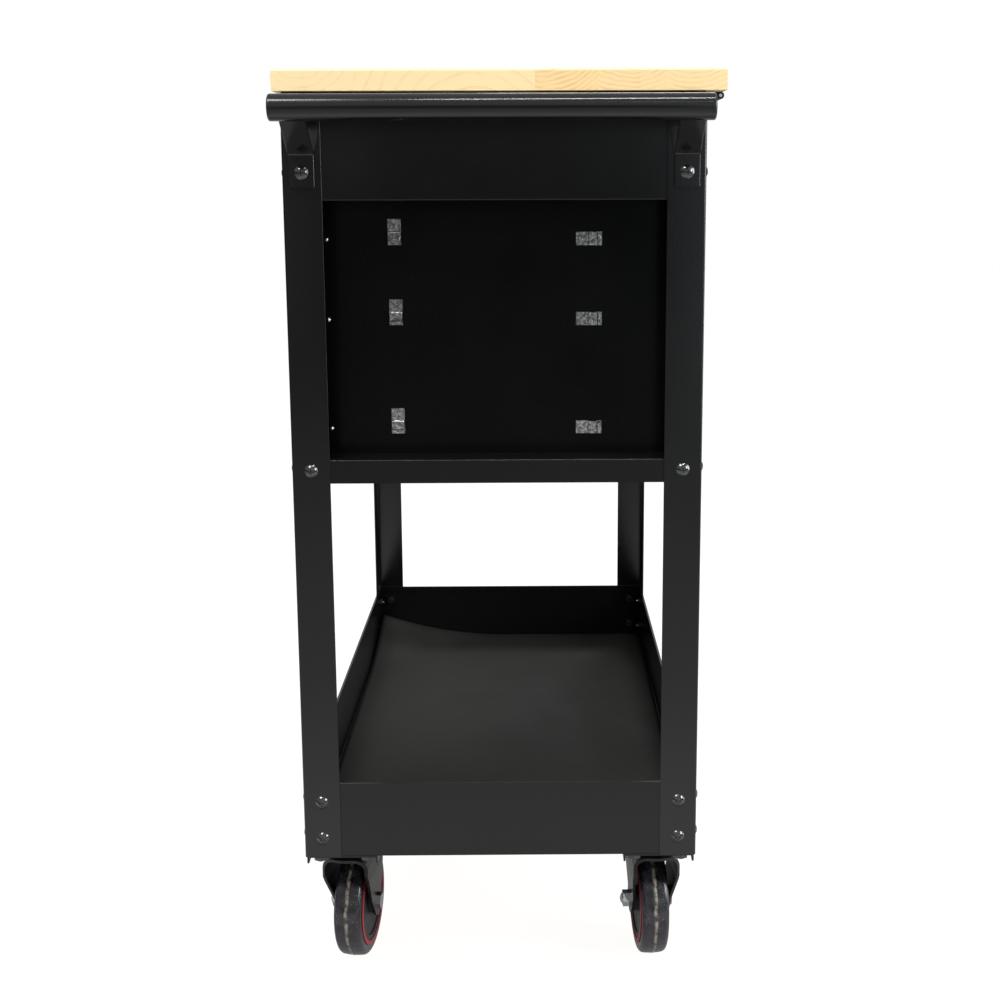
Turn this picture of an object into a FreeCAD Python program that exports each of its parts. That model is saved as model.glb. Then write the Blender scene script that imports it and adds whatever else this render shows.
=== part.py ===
"""Tool cart: steel angle frame, lower tray, three drawers, lidded top tray, push handle and four casters.

Millimetres. +Z is up and the floor is z = 0. +X points to the handle end, -Y to the drawer side.
The model is drawn about the middle of the four legs and moved at the end, so that the origin is
under the middle of the whole cart.
"""
import FreeCAD
import Part
import math
import os

from FreeCAD import Vector

# ---- driving dimensions -------------------------------------------------------------------------

# Frame
frame_length = 780.0            # outer faces of the legs, along X
frame_width = 410.0             # outer faces of the legs, along Y
leg_flange = 38.0
leg_thickness = 1.5
leg_bend_radius = 2.5
leg_edge_radius = 0.5           # on the free edges of the flanges
leg_top = 934.0
sheet = 1.2                     # thickness of trays, shelf and drawers
sheet_fold_radius = 1.6

# Heights of the trays and the shelf
bottom_tray_base = 155.5
bottom_tray_height = 81.0
shelf_top = 579.0
shelf_flange = 24.0
top_tray_base = 834.0
top_tray_rim = 936.7
hem_height = 8.0
rim_width = 9.0

# Screws that join the legs to the trays
screw_inset = 19.0              # from the outer corner of the leg
screw_heights = (176.0, 216.0, 568.0, 861.0)
screw_radius = 3.0
screw_hole_radius = 3.25
screw_head_radius = 6.75
screw_head_height = 3.3
screw_length = 10.0
screw_recess_half_length = 2.9
screw_recess_half_width = 0.6
screw_recess_depth = 1.8
screw_hole_reach = 17.0         # how far inside the head a clearance hole starts
nut_across_flats = 10.0
nut_height = 4.0
nut_gap = 0.05

# Drawer cabinet
panel_recess = 40.0             # end panels stand this far inside the leg faces
panel_thickness = 1.0
panel_return_gap = 4.0          # between the edge of a panel's return and the leg's other flange

# Rubber mat in the lower tray
mat_thickness = 2.8
mat_gap = 1.3
curl_along_end = 190.0
curl_along_front = 190.0
curl_radius = 258.0

# Drawers, from the top down
drawer_slide_heights = (796.0, 716.0, 605.4)
drawer_front_bottoms = (755.0, 675.0, 581.0)
drawer_front_tops = (831.5, 752.0, 672.0)
drawer_box_bottoms = (766.0, 686.0, 584.0)
drawer_box_heights = (60.0, 60.0, 75.0)
drawer_depth = 350.0
front_face_recess = 12.0        # drawer fronts stand this far inside the leg faces
front_depth = 10.0
front_half_width = 347.5
pull_overhang = 1.0             # the pull stands this far proud of the leg faces
pull_lip_height = 18.0
pull_thickness = 1.5

# Ball-bearing slides
slide_thickness = 12.7
slide_height = 45.0
middle_rail_height = 36.0
inner_rail_height = 27.4
rail_sheet = 1.2
outer_rail_lip = 1.2            # the outer rail's flanges stop this far from the drawer
middle_rail_gap = 3.2           # between the webs of the outer and middle rails
middle_rail_lip = 1.8
inner_rail_flange = 5.8
hook_window = 12.0              # open part of the slot, behind the hook's neck
hook_tongue = 9.0
hook_reach = 13.5               # tongue and end lip together
hook_width = 12.4
hook_lip_width = 10.8
hook_lip_step = 1.0
hook_stand_off = 2.6
hook_groove = 1.0
hook_bend_radius = 1.6
hook_edge_radius = 0.4
vertical_hook_y = -101.5
vertical_hook_rise = 8.0        # its neck is this far above the slide's centre line
horizontal_hook_y = 92.0
slot_gap = 0.5
slide_screw_y = -169.0
slide_screw_radius = 2.25
slide_screw_gap = 0.2
slide_screw_length = 6.0
slide_screw_head_radius = 4.05
slide_screw_head_height = 1.6
slide_screw_point = 1.4         # rounded end

# Wooden lid
lid_bottom = 937.0
lid_thickness = 20.0
lid_front = -211.0
lid_rear = 222.2
lid_end_overhang = 10.0
lid_edge_radius = 2.0

# Piano hinge of the lid
hinge_y = 219.3
hinge_z = 933.5
hinge_barrel_radius = 3.5
hinge_pin_radius = 1.5
hinge_pin_gap = 0.05
hinge_leaf = 1.2
hinge_half_length = 372.0
hinge_knuckles = 24
hinge_knuckle_gap = 0.3
hinge_fixed_leaf_depth = 26.0
hinge_web = 1.0                 # how far a knuckle's web reaches into its leaf
hinge_leaf_gap = 0.6            # between a leaf and the knuckles of the other leaf
hinge_wall_gap = 2.0            # between the moving leaf and the rear wall

# Push handle
tube_radius = 12.5
tube_wall = 1.5
tube_length = 406.2
tube_stand_off = 60.0           # centre of the tube outside the leg faces
tube_height = 919.0
tube_cap = 2.5
cap_edge_radius = 2.2
cap_plug_length = 10.0
bracket_width = 25.0
bracket_tab_bottom = 847.0
bracket_bend = 878.0
bracket_sheet = 2.5
bracket_edge_radius = 0.8
bracket_slope = 33.0            # degrees, rise of the leaning arm

# Casters
caster_inset = 57.0             # swivel centre from the leg faces, along X
caster_offset = 166.5           # swivel centre from the middle, along Y
caster_trail = 38.0
front_caster_yaw = -8.0         # degrees, how the front swivel caster stands
rear_caster_yaw = 4.0
wheel_radius = 60.0
wheel_width = 30.0
tread_corner = 6.0
tread_inner_radius = 43.0
ring_outer_radius = 48.3
ring_inner_radius = 43.8
ring_height = 0.8
hub_width = 36.5
hub_boss_radius = 14.0
hub_web = 27.0
hub_rim = 5.0                   # radial thickness of the rim
hub_overlap = 1.0               # how far the web runs into the rim and the boss
axle_radius = 5.0
axle_hole_gap = 0.1
axle_nut_size = 16.0
axle_head_height = 4.0
axle_nut_height = 8.0
axle_cap_radius = 6.5
axle_cap_height = 3.0
running_gap = 0.05
channel_sheet = 2.0
channel_length = 112.0
channel_lip = 8.0
channel_inset = 1.0             # its end stands this far inside the tray's wall
channel_half_width = 37.0
plate_thickness = 3.0
plate_length = 92.0
plate_width = 68.0
plate_stud_x = 37.0
plate_stud_y = 25.0
stud_radius = 4.0
stud_nut_size = 13.0
stud_nut_height = 6.0
stud_end = 1.5                  # thread that shows below the nut
stud_hole_gap = 0.4
fork_sheet = 3.0
fork_crown_top = 138.5
fork_crown_half_width = 25.2
swivel_crown_front = 31.0       # how far the crown reaches from the swivel axis
swivel_crown_rear = 46.0
rigid_crown_reach = 29.0        # both ways, clear of the stud nuts
fork_crown_square = 3.0         # behind this X the crown is no longer round
fork_arm_half_width = 21.5
fork_shoulder_top = 106.0
fork_shoulder_bottom = 70.0
fork_shoulder_bend = 16.0       # inner radius of the bends above and below the sloping shoulders
fork_eye_radius = 16.0
fork_crown_outer_bend = 16.0
fork_crown_inner_bend = 13.0
fork_front_skirt = 7.0          # depth of the crown's upright front edge, before the arms lean back
fork_rear_skirt = 12.0
fork_front_curve = 24.0         # radius where the front edge starts to lean back
fork_front_tangent = -20.0      # degrees, where the arm's front edge meets the round eye
fork_rear_tangent = 168.5
fork_blank = 120.0              # half length of the bent strip that a fork is cut from
race_radius = 17.0
race_taper = 4.0
race_gap = 0.4
kingpin_radius = 6.0
kingpin_head_radius = 8.8
kingpin_head_height = 4.0

# Modelling
tolerance = 1e-6
clearance = 1.0                 # how far a cutting tool reaches past what it cuts

# ---- derived dimensions -------------------------------------------------------------------------

half_length = frame_length / 2
half_width = frame_width / 2
tray_half_length = half_length - leg_thickness
tray_half_width = half_width - leg_thickness
tray_corner_radius = leg_bend_radius - leg_thickness
bottom_tray_top = bottom_tray_base + bottom_tray_height
panel_outer = half_length - panel_recess
panel_inner = panel_outer - panel_thickness
box_half_width = panel_inner - slide_thickness
front_face = -half_width + front_face_recess
box_front = front_face + front_depth
rail_front = box_front + 2.0
pull_face = -half_width - pull_overhang
lid_half_length = half_length + lid_end_overhang
lid_top = lid_bottom + lid_thickness
tube_x = half_length + tube_stand_off
channel_bottom = bottom_tray_base - channel_sheet
plate_bottom = channel_bottom - plate_thickness
axle_height = wheel_radius
kingpin_bottom = fork_crown_top - fork_sheet - running_gap - kingpin_head_height

origin_shift = Vector(
    -(tube_x + tube_radius - lid_half_length) / 2,
    -(lid_front + lid_rear) / 2,
    0,
)

X_AXIS = Vector(1, 0, 0)
Y_AXIS = Vector(0, 1, 0)
Z_AXIS = Vector(0, 0, 1)

# ---- shape helpers ------------------------------------------------------------------------------


def block(x_range, y_range, z_range):
    """A box between three pairs of limits, in either order."""
    low = Vector(min(x_range), min(y_range), min(z_range))
    high = Vector(max(x_range), max(y_range), max(z_range))
    size = high - low
    return Part.makeBox(size.x, size.y, size.z, low)


def rod(radius, start, direction, length):
    """A solid cylinder from start along direction."""
    return Part.makeCylinder(radius, length, start, direction)


def prism(points, travel):
    """A closed outline of points, pushed along the vector travel."""
    outline = Part.makePolygon(points + [points[0]])
    return Part.Face(outline).extrude(travel)


def tray_envelope(z_range, fold_z):
    """The outer shape of a tray: corners that fit the legs, and a rounded fold all round at fold_z."""
    solid = block((-tray_half_length, tray_half_length), (-tray_half_width, tray_half_width), z_range)
    corners = [edge for edge in solid.Edges if edge.BoundBox.ZLength > sheet]
    solid = solid.makeFillet(tray_corner_radius, corners)
    fold = [
        edge for edge in solid.Edges
        if edge.BoundBox.ZLength < tolerance and abs(edge.CenterOfMass.z - fold_z) < tolerance
    ]
    return solid.makeFillet(sheet_fold_radius, fold)


def channel_walls(x_half, y_half, z_range):
    """The four outer walls of a tray, one sheet thick."""
    outer = block((-x_half, x_half), (-y_half, y_half), z_range)
    inner = block((-x_half + sheet, x_half - sheet), (-y_half + sheet, y_half - sheet), z_range)
    return outer.cut(inner)


def placed(shape, position, direction):
    """A copy of a shape drawn along +Z, turned along direction and moved to position."""
    copy = shape.copy()
    copy.Placement = FreeCAD.Placement(position, FreeCAD.Rotation(Z_AXIS, direction))
    return copy


def edges_through(shape, corner, direction):
    """The straight edges of a shape that run along direction through corner."""
    found = []
    for edge in shape.Edges:
        span = edge.Vertexes[-1].Point - edge.Vertexes[0].Point
        offset = edge.CenterOfMass - corner
        is_parallel = span.Length > tolerance and span.cross(direction).Length < tolerance
        if is_parallel and offset.cross(direction).Length < tolerance:
            found.append(edge)
    return found


def compound(shapes):
    """Separate solids that share one file."""
    return Part.makeCompound(shapes)


def hexagon(across_flats, height):
    """A hexagonal prism that stands on z = 0."""
    radius = across_flats / math.sqrt(3)
    corners = [
        Vector(radius * math.cos(math.radians(60 * n)), radius * math.sin(math.radians(60 * n)), 0)
        for n in range(6)
    ]
    return prism(corners, Vector(0, 0, height))


def dome(radius, height):
    """A low round cap that stands on z = 0."""
    ball_radius = (radius * radius + height * height) / (2 * height)
    ball = Part.makeSphere(ball_radius, Vector(0, 0, height - ball_radius))
    return ball.common(Part.makeCylinder(radius, height))


def save(name, shape):
    """Write one node, moved so that the origin is under the middle of the cart."""
    moved = shape.copy()
    moved.translate(origin_shift)
    moved.exportStep("parts/" + name + ".step")


# ---- screws of the frame ------------------------------------------------------------------------


def screw_seats():
    """Every frame screw: where its head sits, and which way its head points."""
    seats = []
    for x_side in (-1, 1):
        for y_side in (-1, 1):
            for height in screw_heights:
                seat_x = half_length
                if x_side > 0 and height == screw_heights[-1]:
                    seat_x = half_length + bracket_sheet
                end_seat = Vector(x_side * seat_x, y_side * (half_width - screw_inset), height)
                side_seat = Vector(x_side * (half_length - screw_inset), y_side * half_width, height)
                seats.append((end_seat, Vector(x_side, 0, 0)))
                seats.append((side_seat, Vector(0, y_side, 0)))
    return seats


def screw_holes():
    """Clearance holes for the frame screws, long enough for every sheet they pass."""
    holes = []
    for seat, direction in screw_seats():
        start = seat - direction * screw_hole_reach
        holes.append(rod(screw_hole_radius, start, direction, screw_hole_reach + clearance))
    return holes


def frame_screw():
    """A truss-head screw along +Z, with a cross recess; its head sits on z = 0."""
    head = dome(screw_head_radius, screw_head_height)
    shank = Part.makeCylinder(screw_radius, screw_length, Vector(0, 0, -screw_length))
    length = (-screw_recess_half_length, screw_recess_half_length)
    width = (-screw_recess_half_width, screw_recess_half_width)
    depth = (screw_head_height - screw_recess_depth, screw_head_height + clearance)
    long_slot = block(length, width, depth)
    cross_slot = block(width, length, depth)
    return head.fuse(shank).cut([long_slot, cross_slot])


def frame_screws():
    return compound([placed(frame_screw(), seat, direction) for seat, direction in screw_seats()])


def frame_nuts():
    """Hexagon nuts on the inner side of the trays and the shelf."""
    nut = hexagon(nut_across_flats, nut_height)
    nut = nut.cut(Part.makeCylinder(screw_radius + nut_gap, nut_height))
    nuts = []
    for seat, direction in screw_seats():
        inner_face = leg_thickness + sheet
        if abs(seat.x) > half_length:
            inner_face += bracket_sheet
        nuts.append(placed(nut, seat - direction * (inner_face + nut_height), direction))
    return compound(nuts)


# ---- frame --------------------------------------------------------------------------------------


def leg(x_side, y_side):
    """An angle-steel leg with a rounded outer bend and eased free edges."""
    height = leg_top - bottom_tray_base
    outer = Part.makeBox(leg_flange, leg_flange, height)
    bend = edges_through(outer, Vector(leg_flange, leg_flange, 0), Z_AXIS)
    outer = outer.makeFillet(leg_bend_radius, bend)
    for free_corner in (Vector(leg_flange, 0, 0), Vector(0, leg_flange, 0)):
        outer = outer.makeFillet(leg_edge_radius, edges_through(outer, free_corner, Z_AXIS))
    inner_size = leg_flange - leg_thickness
    inner = Part.makeBox(inner_size, inner_size, height)
    inner_bend = edges_through(inner, Vector(inner_size, inner_size, 0), Z_AXIS)
    inner = inner.makeFillet(leg_bend_radius - leg_thickness, inner_bend)
    angle = outer.cut(inner)
    if x_side < 0:
        angle = angle.mirror(Vector(leg_flange / 2, 0, 0), X_AXIS)
    if y_side < 0:
        angle = angle.mirror(Vector(0, leg_flange / 2, 0), Y_AXIS)
    corner_x = half_length - leg_flange if x_side > 0 else -half_length
    corner_y = half_width - leg_flange if y_side > 0 else -half_width
    angle.translate(Vector(corner_x, corner_y, bottom_tray_base))
    return angle.cut(screw_holes())


def bottom_tray():
    """Folded pan with a hem turned in along its top edge."""
    pan = block(
        (-tray_half_length, tray_half_length),
        (-tray_half_width, tray_half_width),
        (bottom_tray_base, bottom_tray_base + sheet),
    )
    walls = channel_walls(tray_half_length, tray_half_width, (bottom_tray_base, bottom_tray_top))
    hem = channel_walls(
        tray_half_length - sheet, tray_half_width - sheet, (bottom_tray_top - hem_height, bottom_tray_top)
    )
    envelope = tray_envelope((bottom_tray_base, bottom_tray_top), bottom_tray_base)
    return pan.fuse([walls, hem]).common(envelope).cut(screw_holes())


def bottom_mat():
    """Mat on the lower tray's floor; its corner at the far end of the drawer side curls up."""
    base = bottom_tray_base + sheet
    half_x = tray_half_length - sheet - mat_gap
    half_y = tray_half_width - sheet - mat_gap
    flat = block((-half_x, half_x), (-half_y, half_y), (base, base + mat_thickness))
    corner = Vector(-half_x, -half_y, base)
    along_end = Vector(-half_x, -half_y + curl_along_end, base)
    along_front = Vector(-half_x + curl_along_front, -half_y, base)
    curl_zone = prism([corner, along_end, along_front], Vector(0, 0, curl_radius / 2))
    fold_line = (along_front - along_end).normalize()
    curl_centre = along_end - fold_line * curl_radius + Vector(0, 0, curl_radius)
    curl_span = curl_along_end + curl_along_front + 2 * curl_radius
    outside = Part.makeCylinder(curl_radius, curl_span, curl_centre, fold_line)
    inside = Part.makeCylinder(curl_radius - mat_thickness, curl_span, curl_centre, fold_line)
    curl = outside.cut(inside).common(curl_zone)
    return flat.cut(curl_zone).fuse(curl)


def middle_shelf():
    """Shelf with down-turned flanges, flush with the trays."""
    deck = block(
        (-tray_half_length, tray_half_length),
        (-tray_half_width, tray_half_width),
        (shelf_top - sheet, shelf_top),
    )
    flanges = channel_walls(tray_half_length, tray_half_width, (shelf_top - shelf_flange, shelf_top))
    envelope = tray_envelope((shelf_top - shelf_flange, shelf_top), shelf_top)
    return deck.fuse(flanges).common(envelope).cut(screw_holes())


def top_tray():
    """Deep tray under the lid, with a flat rim turned inwards."""
    pan = block(
        (-tray_half_length, tray_half_length),
        (-tray_half_width, tray_half_width),
        (top_tray_base, top_tray_base + sheet),
    )
    walls = channel_walls(tray_half_length, tray_half_width, (top_tray_base, top_tray_rim))
    rim_range = (top_tray_rim - sheet, top_tray_rim)
    rim_outer = block(
        (-tray_half_length, tray_half_length), (-tray_half_width, tray_half_width), rim_range
    )
    rim_hole = block(
        (-tray_half_length + rim_width, tray_half_length - rim_width),
        (-tray_half_width + rim_width, tray_half_width - rim_width),
        rim_range,
    )
    envelope = tray_envelope((top_tray_base, top_tray_rim), top_tray_base)
    return pan.fuse([walls, rim_outer.cut(rim_hole)]).common(envelope).cut(screw_holes())


# ---- drawer cabinet -----------------------------------------------------------------------------


def hook_anchors(slide_z):
    """Where the two hooks of a slide start, as (y, z), and which way each one points."""
    return [
        (vertical_hook_y, slide_z + vertical_hook_rise, -Z_AXIS),
        (horizontal_hook_y, slide_z, Y_AXIS),
    ]


def hook_block(x_range, y, z, along, along_range, width):
    """A box of a hook: its limits in X, its limits along the hook, and its width across."""
    across = X_AXIS.cross(along)
    start = Vector(0, y, z) + along * along_range[0] - across * (width / 2)
    end = Vector(0, y, z) + along * along_range[1] + across * (width / 2)
    return block(x_range, (start.y, end.y), (start.z, end.z))


def hook_slots(x_side, slide_z):
    """Slots and screw hole for one slide in an end panel."""
    through = (x_side * (panel_inner - clearance), x_side * (panel_outer + clearance))
    along_range = (-hook_window, hook_reach + slot_gap)
    slots = []
    for y, z, along in hook_anchors(slide_z):
        slots.append(hook_block(through, y, z, along, along_range, hook_width + 2 * slot_gap))
    hole_radius = slide_screw_radius + slide_screw_gap
    hole_start = Vector(through[0], slide_screw_y, slide_z)
    hole_length = panel_thickness + 2 * clearance
    slots.append(rod(hole_radius, hole_start, Vector(x_side, 0, 0), hole_length))
    return slots


def end_panel(x_side):
    """Recessed end wall of the drawer cabinet, with returns that reach the legs."""
    z_range = (shelf_top, top_tray_base)
    wall = block(
        (x_side * panel_inner, x_side * panel_outer), (-tray_half_width, tray_half_width), z_range
    )
    returns = []
    for y_side in (-1, 1):
        returns.append(block(
            (x_side * panel_inner, x_side * (tray_half_length - panel_return_gap)),
            (y_side * (tray_half_width - panel_thickness), y_side * tray_half_width),
            z_range,
        ))
    slots = []
    for slide_z in drawer_slide_heights:
        slots.extend(hook_slots(x_side, slide_z))
    return wall.fuse(returns).cut(slots)


def back_panel():
    """Rear wall of the drawer cabinet, between the two end panels."""
    return block(
        (-panel_inner, panel_inner),
        (tray_half_width - panel_thickness, tray_half_width),
        (shelf_top, top_tray_base),
    )


# ---- drawers and slides -------------------------------------------------------------------------


def drawer_box(row):
    """Open-topped drawer body."""
    bottom = drawer_box_bottoms[row]
    z_range = (bottom, bottom + drawer_box_heights[row])
    y_range = (box_front, box_front + drawer_depth)
    outer = block((-box_half_width, box_half_width), y_range, z_range)
    inner = block(
        (-box_half_width + sheet, box_half_width - sheet),
        (y_range[0] + sheet, y_range[1] - sheet),
        (bottom + sheet, z_range[1]),
    )
    return outer.cut(inner)


def drawer_front(row):
    """Folded front pan, open towards the drawer body."""
    z_range = (drawer_front_bottoms[row], drawer_front_tops[row])
    outer = block((-front_half_width, front_half_width), (front_face, box_front), z_range)
    inner = block(
        (-front_half_width + sheet, front_half_width - sheet),
        (front_face + sheet, box_front),
        (z_range[0] + sheet, z_range[1] - sheet),
    )
    return outer.cut(inner)


def drawer_pull(row):
    """Full-width finger pull: a shelf along the front's top edge with a lip turned down."""
    top = drawer_front_tops[row]
    shelf = block(
        (-front_half_width, front_half_width), (pull_face, front_face), (top - pull_thickness, top)
    )
    lip = block(
        (-front_half_width, front_half_width),
        (pull_face, pull_face + pull_thickness),
        (top - pull_lip_height, top),
    )
    return shelf.fuse(lip)


def rail(x_side, slide_z, height, web, flange_tip):
    """A channel rail: its web at one X, its flanges reaching to flange_tip."""
    y_range = (rail_front, rail_front + drawer_depth)
    toward_drawer = flange_tip < web
    web_far = web - rail_sheet if toward_drawer else web + rail_sheet
    spans = [block((x_side * web, x_side * web_far), y_range, (slide_z - height / 2, slide_z + height / 2))]
    for z_side in (-1, 1):
        edge = slide_z + z_side * height / 2
        spans.append(block((x_side * web, x_side * flange_tip), y_range, (edge, edge - z_side * rail_sheet)))
    return spans[0].fuse(spans[1:])


def hook_outline():
    """Side view of a bent hook, as pairs of distance along the hook and distance out from the cabinet."""
    root = panel_inner - rail_sheet
    tongue_in = panel_outer + hook_stand_off
    tongue_out = tongue_in + rail_sheet
    return [
        (0, root),
        (0, tongue_out),
        (hook_tongue, tongue_out),
        (hook_tongue + hook_lip_step, tongue_out - hook_lip_step),
        (hook_reach, tongue_out - hook_lip_step),
        (hook_reach, tongue_in - hook_lip_step),
        (hook_tongue, tongue_in - hook_lip_step),
        (hook_tongue - hook_lip_step, tongue_in),
        (rail_sheet, tongue_in),
        (rail_sheet, root),
    ]


def rail_hook(x_side, y, z, along):
    """Bayonet hook of a slide: a neck through the panel's slot, a bent tongue and a narrower end lip."""
    across = X_AXIS.cross(along)
    start = Vector(0, y, z) - across * (hook_width / 2)
    corners = [start + along * distance + X_AXIS * (x_side * x) for distance, x in hook_outline()]
    hook = prism(corners, across * hook_width)
    neck_bend = corners[1]
    tongue_end = corners[2]
    hook = hook.makeFillet(hook_bend_radius, edges_through(hook, neck_bend, across))
    for side_corner in (tongue_end, tongue_end + across * hook_width):
        hook = hook.makeFillet(hook_edge_radius, edges_through(hook, side_corner, along))
    out_range = (x_side * (panel_outer + clearance), tongue_end.x + x_side * clearance)
    lip_range = (hook_tongue + hook_lip_step, hook_reach)
    lip_space = hook_block(out_range, y, z, along, lip_range, hook_width + 2 * clearance)
    lip = hook_block(out_range, y, z, along, lip_range, hook_lip_width)
    groove_in = tongue_end.x - x_side * hook_groove / 2
    groove_range = (hook_bend_radius, hook_bend_radius + hook_groove)
    groove = hook_block((groove_in, tongue_end.x), y, z, along, groove_range, hook_width)
    return hook.cut([lip_space.cut(lip), groove])


def outer_rails():
    """Fixed slide members of all drawers, each with its two hooks."""
    rails = []
    drawer_side = panel_inner - slide_thickness
    hole_radius = slide_screw_radius + slide_screw_gap
    for x_side in (-1, 1):
        for slide_z in drawer_slide_heights:
            channel = rail(x_side, slide_z, slide_height, panel_inner, drawer_side + outer_rail_lip)
            hooks = [rail_hook(x_side, y, z, along) for y, z, along in hook_anchors(slide_z)]
            start = Vector(x_side * drawer_side, slide_screw_y, slide_z)
            hole = rod(hole_radius, start, Vector(x_side, 0, 0), slide_thickness + clearance)
            rails.append(channel.fuse(hooks).cut(hole))
    return compound(rails)


def middle_rails(row):
    """Intermediate slide members of one drawer."""
    slide_z = drawer_slide_heights[row]
    web = panel_inner - rail_sheet - middle_rail_gap
    tip = box_half_width + middle_rail_lip
    return compound([rail(x_side, slide_z, middle_rail_height, web, tip) for x_side in (-1, 1)])


def inner_rails(row):
    """Slide members on the two sides of one drawer."""
    slide_z = drawer_slide_heights[row]
    tip = box_half_width + inner_rail_flange
    return compound([rail(x_side, slide_z, inner_rail_height, box_half_width, tip) for x_side in (-1, 1)])


def slide_screws():
    """One screw per fixed slide member; its point shows outside the end panel."""
    screws = []
    for x_side in (-1, 1):
        outward = Vector(x_side, 0, 0)
        for slide_z in drawer_slide_heights:
            seat = Vector(x_side * (panel_inner - rail_sheet), slide_screw_y, slide_z)
            head_start = seat - outward * slide_screw_head_height
            shank = rod(slide_screw_radius, seat, outward, slide_screw_length)
            head = rod(slide_screw_head_radius, head_start, outward, slide_screw_head_height)
            point = dome(slide_screw_radius, slide_screw_point)
            point = placed(point, seat + outward * slide_screw_length, outward)
            screws.append(head.fuse([shank, point]))
    return compound(screws)


# ---- lid and hinge ------------------------------------------------------------------------------


def wood_top():
    """Solid wooden lid with eased edges."""
    slab = block(
        (-lid_half_length, lid_half_length), (lid_front, lid_rear), (lid_bottom, lid_top)
    )
    top_edges = [
        edge for edge in slab.Edges
        if all(abs(vertex.Z - lid_top) < tolerance for vertex in edge.Vertexes)
    ]
    return slab.makeFillet(lid_edge_radius, top_edges)


def hinge_knuckle_spans(remainder):
    """X limits of every other knuckle of the piano hinge."""
    pitch = 2 * hinge_half_length / hinge_knuckles
    spans = []
    for index in range(hinge_knuckles):
        if index % 2 == remainder:
            start = -hinge_half_length + index * pitch
            spans.append((start + hinge_knuckle_gap / 2, start + pitch - hinge_knuckle_gap / 2))
    return spans


def hinge_knuckles_and_webs(remainder, web_z):
    """Knuckles with the short webs that tie them to their leaf."""
    pieces = []
    for x_range in hinge_knuckle_spans(remainder):
        length = x_range[1] - x_range[0]
        pieces.append(rod(hinge_barrel_radius, Vector(x_range[0], hinge_y, hinge_z), X_AXIS, length))
        web_start = hinge_y - hinge_barrel_radius - hinge_web
        pieces.append(block(x_range, (web_start, hinge_y), web_z))
    return pieces


def hinge_bore():
    """The hole for the hinge pin, along the whole hinge."""
    start = Vector(-hinge_half_length - clearance, hinge_y, hinge_z)
    return rod(hinge_pin_radius + hinge_pin_gap, start, X_AXIS, 2 * (hinge_half_length + clearance))


def hinge_fixed_leaf():
    """Leaf on the rear wall: an angle whose outer edge carries half the knuckles."""
    x_range = (-hinge_half_length, hinge_half_length)
    wall_y = half_width
    ledge_z = (hinge_z - hinge_barrel_radius, hinge_z - hinge_barrel_radius + hinge_leaf)
    upright = block(x_range, (wall_y, wall_y + hinge_leaf), (ledge_z[1] - hinge_fixed_leaf_depth, ledge_z[1]))
    ledge = block(x_range, (wall_y, hinge_y - hinge_barrel_radius - hinge_leaf_gap), ledge_z)
    return upright.fuse([ledge] + hinge_knuckles_and_webs(0, ledge_z)).cut(hinge_bore())


def hinge_moving_leaf():
    """Leaf under the rear edge of the lid, with the other half of the knuckles."""
    x_range = (-hinge_half_length, hinge_half_length)
    leaf_z = (lid_bottom - hinge_leaf, lid_bottom)
    front_edge = half_width + hinge_wall_gap
    leaf = block(x_range, (front_edge, hinge_y - hinge_barrel_radius - hinge_leaf_gap), leaf_z)
    return leaf.fuse(hinge_knuckles_and_webs(1, leaf_z)).cut(hinge_bore())


def hinge_pin():
    start = Vector(-hinge_half_length, hinge_y, hinge_z)
    return rod(hinge_pin_radius, start, X_AXIS, 2 * hinge_half_length)


# ---- handle -------------------------------------------------------------------------------------


def handle_tube():
    start = Vector(tube_x, -tube_length / 2, tube_height)
    outside = rod(tube_radius, start, Y_AXIS, tube_length)
    return outside.cut(rod(tube_radius - tube_wall, start, Y_AXIS, tube_length))


def handle_end_caps():
    """Flat plugs with rounded edges in both ends of the handle tube."""
    face = Part.makeCylinder(tube_radius, tube_cap)
    rim = [edge for edge in face.Edges if edge.BoundBox.ZMin > tube_cap - tolerance]
    stem = Part.makeCylinder(tube_radius - tube_wall, cap_plug_length, Vector(0, 0, -cap_plug_length))
    plug = face.makeFillet(cap_edge_radius, rim).fuse(stem)
    caps = []
    for y_side in (-1, 1):
        seat = Vector(tube_x, y_side * tube_length / 2, tube_height)
        caps.append(placed(plug, seat, Vector(0, y_side, 0)))
    return compound(caps)


def handle_bracket(y_side):
    """Bent plate: a screwed tab and an arm that leans out to the tube and is welded to it."""
    start_y = y_side * (half_width - screw_inset) - bracket_width / 2
    slope = math.radians(bracket_slope)
    along = Vector(math.cos(slope), 0, math.sin(slope))
    upward = Vector(-math.sin(slope), 0, math.cos(slope))
    outer_bend = Vector(half_length + bracket_sheet, start_y, bracket_bend)
    arm_end = outer_bend + along * (tube_stand_off / math.cos(slope))
    inner_bend = outer_bend + upward * bracket_sheet
    inner_bend -= along * (bracket_sheet * (1 - math.sin(slope)) / math.cos(slope))
    plate = prism(
        [
            Vector(half_length, start_y, bracket_tab_bottom),
            Vector(half_length + bracket_sheet, start_y, bracket_tab_bottom),
            outer_bend,
            arm_end,
            arm_end + upward * bracket_sheet,
            inner_bend,
        ],
        Vector(0, bracket_width, 0),
    )
    plate = plate.makeFillet(bracket_sheet, edges_through(plate, outer_bend, Y_AXIS))
    side_edges = [edge for edge in plate.Edges if edge.BoundBox.YLength < tolerance]
    plate = plate.makeFillet(bracket_edge_radius, side_edges)
    tube_start = Vector(tube_x, start_y - clearance, tube_height)
    tube_space = rod(tube_radius, tube_start, Y_AXIS, bracket_width + 2 * clearance)
    beyond_tube = block(
        (tube_x, tube_x + tube_stand_off),
        (start_y - clearance, start_y + bracket_width + clearance),
        (bracket_bend, tube_height + tube_stand_off),
    )
    return plate.cut([tube_space, beyond_tube] + screw_holes())


# ---- casters ------------------------------------------------------------------------------------


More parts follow.
